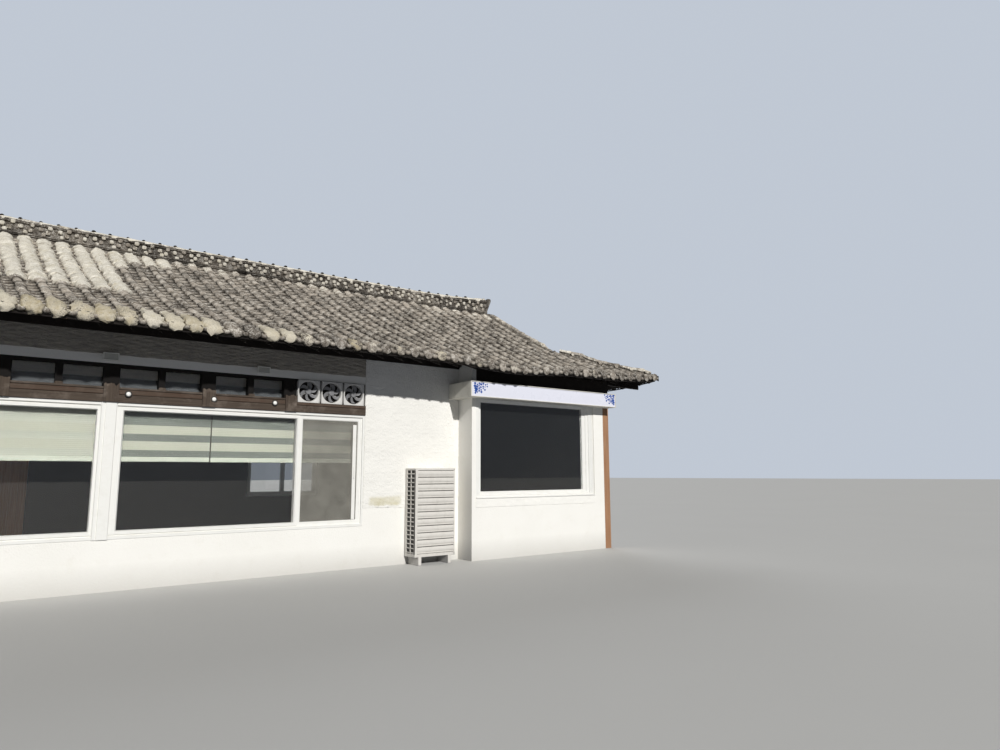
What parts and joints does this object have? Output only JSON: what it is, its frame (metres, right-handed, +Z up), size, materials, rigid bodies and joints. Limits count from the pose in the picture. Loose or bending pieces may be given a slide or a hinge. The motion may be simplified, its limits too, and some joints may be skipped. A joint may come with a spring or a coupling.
{
  "type": "hanok house",
  "caption": "Single-storey hanok house with white plastered walls, a hip-and-gable clay tile roof, wide front windows, a bay window with a light box above it, and vent fans.",
  "frame": {"origin": "on the ground under the middle of the ridge, at the centre of the roof's outline in plan", "axes": "+X along the front to the right as seen from outside, +Y from the front to the rear, +Z up"},
  "size_m": [16.44, 7.39, 5.6],
  "materials": {
    "plaster": "rough white lime plaster, hand trowelled",
    "concrete": "trowelled concrete floor",
    "roof_tile": "unglazed grey clay tile, weathered and lichened",
    "dark_timber": "dark stained pine",
    "weathered_timber": "bare weathered pine",
    "red_timber": "red-brown stained pine",
    "upvc": "white extruded window profile",
    "glass": "clear float glass",
    "blind_fabric": "banded woven blind cloth",
    "insect_mesh": "grey woven insect mesh",
    "sign_panel": "white light box panel",
    "fan_plastic": "off-white moulded plastic",
    "fan_blade": "dusty dark moulded plastic",
    "lamp_metal": "grey painted die casting",
    "unit_metal": "light grey painted sheet steel"
  },
  "bodies": {
    "house": {"front_left_wall": "plaster", "front_upper_wall": "plaster", "left_wall": "plaster", "right_wall": "plaster", "front_sill_wall": "plaster", "front_right_wall": "plaster", "bay_sill_wall": "plaster", "bay_front_wall": "plaster", "rear_wall": "plaster", "left_gable_wall": "plaster", "right_gable_wall": "plaster", "floor_slab": "concrete", "front_roof": "roof_tile", "rear_roof": "roof_tile", "left_roof": "roof_tile", "right_roof": "roof_tile", "main_ridge": "roof_tile", "front_left_hip_ridge": "roof_tile", "front_right_hip_ridge": "roof_tile", "rear_left_hip_ridge": "roof_tile", "rear_right_hip_ridge": "roof_tile", "front_rafters": "dark_timber", "rear_rafters": "dark_timber", "left_rafters": "dark_timber", "right_rafters": "dark_timber", "bay_beam": "dark_timber", "transom_frame": "dark_timber", "transom_beam": "weathered_timber", "front_left_post": "red_timber", "front_right_post": "red_timber", "rear_left_post": "red_timber", "rear_right_post": "red_timber", "rear_door": "red_timber", "window_column": "upvc", "left_window_frame": "upvc", "right_window_frame": "upvc", "left_vent_sash": "upvc", "right_vent_sash": "upvc", "rear_window_frame": "upvc", "bay_frame": "upvc", "left_window_glass": "glass", "right_window_glass": "glass", "transom_glass": "glass", "rear_window_glass": "glass", "bay_glass": "glass", "left_blinds": "blind_fabric", "right_blinds": "blind_fabric", "left_insect_screen": "insect_mesh", "right_insect_screen": "insect_mesh", "sign_box": "sign_panel", "fan_1_housing": "fan_plastic", "fan_2_housing": "fan_plastic", "fan_3_housing": "fan_plastic", "left_floodlight": "lamp_metal", "right_floodlight": "lamp_metal", "outdoor_unit": "unit_metal"},
    "fan_1": {"fan_1_rotor": "fan_blade"},
    "fan_2": {"fan_2_rotor": "fan_blade"},
    "fan_3": {"fan_3_rotor": "fan_blade"}
  },
  "joints": [
    {"name": "fan_1_spin", "type": "hinge", "parent": "house", "child": "fan_1", "pos_m": [1.146, -2.66, 2.734], "axis": [0, -1, 0], "continuous": true},
    {"name": "fan_2_spin", "type": "hinge", "parent": "house", "child": "fan_2", "pos_m": [1.522, -2.66, 2.734], "axis": [0, -1, 0], "continuous": true},
    {"name": "fan_3_spin", "type": "hinge", "parent": "house", "child": "fan_3", "pos_m": [1.898, -2.66, 2.734], "axis": [0, -1, 0], "continuous": true}
  ]
}
